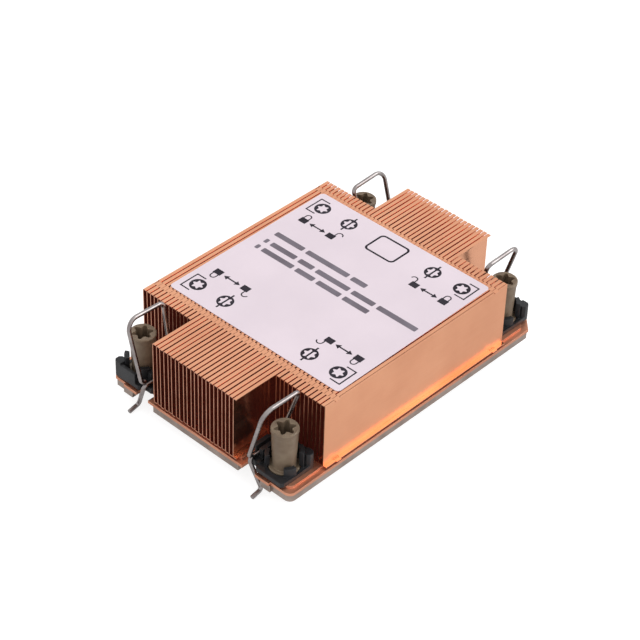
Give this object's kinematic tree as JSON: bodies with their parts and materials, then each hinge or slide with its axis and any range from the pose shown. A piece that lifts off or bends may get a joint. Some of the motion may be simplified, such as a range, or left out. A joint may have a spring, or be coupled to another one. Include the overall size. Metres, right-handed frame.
{
  "type": "passive cpu heatsink",
  "caption": "Low folded-fin copper heatsink for a server processor, with a flat cold plate, captive corner nuts and swinging wire bails in plastic clips.",
  "frame": {"origin": "centre of the cold plate's contact face", "axes": "+Z away from the processor, +Y along the fins, +X across the fins"},
  "size_m": [0.0782, 0.1178, 0.0339],
  "materials": {
    "fin_copper": "bright rolled copper strip",
    "plate_copper": "satin copper with bright edges",
    "plated_metal": "dull nickel plating",
    "label_film": "matt printed film",
    "nut_plastic": "tan engineering plastic",
    "spring_wire": "drawn steel wire",
    "clip_plastic": "black moulded plastic"
  },
  "bodies": {
    "heatsink": {"base_plate": "plate_copper", "cold_plate": "plated_metal", "label": "label_film", "long_fin_14": "fin_copper", "long_fin_15": "fin_copper", "long_fin_16": "fin_copper", "long_fin_17": "fin_copper", "long_fin_18": "fin_copper", "long_fin_19": "fin_copper", "long_fin_20": "fin_copper", "long_fin_21": "fin_copper", "long_fin_22": "fin_copper", "long_fin_23": "fin_copper", "long_fin_24": "fin_copper", "long_fin_25": "fin_copper", "long_fin_26": "fin_copper", "long_fin_27": "fin_copper", "long_fin_28": "fin_copper", "long_fin_29": "fin_copper", "long_fin_30": "fin_copper", "long_fin_31": "fin_copper", "long_fin_32": "fin_copper", "long_fin_33": "fin_copper", "long_fin_34": "fin_copper", "long_fin_35": "fin_copper", "short_fin_01": "fin_copper", "short_fin_02": "fin_copper", "short_fin_03": "fin_copper", "short_fin_04": "fin_copper", "short_fin_05": "fin_copper", "short_fin_06": "fin_copper", "short_fin_07": "fin_copper", "short_fin_08": "fin_copper", "short_fin_09": "fin_copper", "short_fin_10": "fin_copper", "short_fin_11": "fin_copper", "short_fin_12": "fin_copper", "short_fin_13": "fin_copper", "short_fin_36": "fin_copper", "short_fin_37": "fin_copper", "short_fin_38": "fin_copper", "short_fin_39": "fin_copper", "short_fin_40": "fin_copper", "short_fin_41": "fin_copper", "short_fin_42": "fin_copper", "short_fin_43": "fin_copper", "short_fin_44": "fin_copper", "short_fin_45": "fin_copper", "short_fin_46": "fin_copper", "short_fin_47": "fin_copper", "short_fin_48": "fin_copper", "wire_clips": "clip_plastic"},
    "bail_front_right": {"wire_bail_front_right": "spring_wire"},
    "nut_front_right": {"captive_nut_front_right": "nut_plastic"},
    "bail_front_left": {"wire_bail_front_left": "spring_wire"},
    "nut_front_left": {"captive_nut_front_left": "nut_plastic"},
    "bail_back_right": {"wire_bail_back_right": "spring_wire"},
    "nut_back_right": {"captive_nut_back_right": "nut_plastic"},
    "bail_back_left": {"wire_bail_back_left": "spring_wire"},
    "nut_back_left": {"captive_nut_back_left": "nut_plastic"}
  },
  "joints": [
    {"name": "bail_swing_front_right", "type": "hinge", "parent": "heatsink", "child": "bail_front_right", "pos_m": [0.0224, -0.049, 0.00775], "axis": [0, 1, 0], "range_deg": [0, 30]},
    {"name": "nut_turn_front_right", "type": "hinge", "parent": "heatsink", "child": "nut_front_right", "pos_m": [0.03, -0.049, 0.0207], "axis": [0, 0, 1], "continuous": true},
    {"name": "bail_swing_front_left", "type": "hinge", "parent": "heatsink", "child": "bail_front_left", "pos_m": [-0.0224, -0.049, 0.00775], "axis": [0, -1, 0], "range_deg": [0, 30]},
    {"name": "nut_turn_front_left", "type": "hinge", "parent": "heatsink", "child": "nut_front_left", "pos_m": [-0.03, -0.049, 0.0207], "axis": [0, 0, 1], "continuous": true},
    {"name": "bail_swing_back_right", "type": "hinge", "parent": "heatsink", "child": "bail_back_right", "pos_m": [0.0224, 0.049, 0.00775], "axis": [0, 1, 0], "range_deg": [0, 30]},
    {"name": "nut_turn_back_right", "type": "hinge", "parent": "heatsink", "child": "nut_back_right", "pos_m": [0.03, 0.049, 0.0207], "axis": [0, 0, 1], "continuous": true},
    {"name": "bail_swing_back_left", "type": "hinge", "parent": "heatsink", "child": "bail_back_left", "pos_m": [-0.0224, 0.049, 0.00775], "axis": [0, -1, 0], "range_deg": [0, 30]},
    {"name": "nut_turn_back_left", "type": "hinge", "parent": "heatsink", "child": "nut_back_left", "pos_m": [-0.03, 0.049, 0.0207], "axis": [0, 0, 1], "continuous": true}
  ]
}
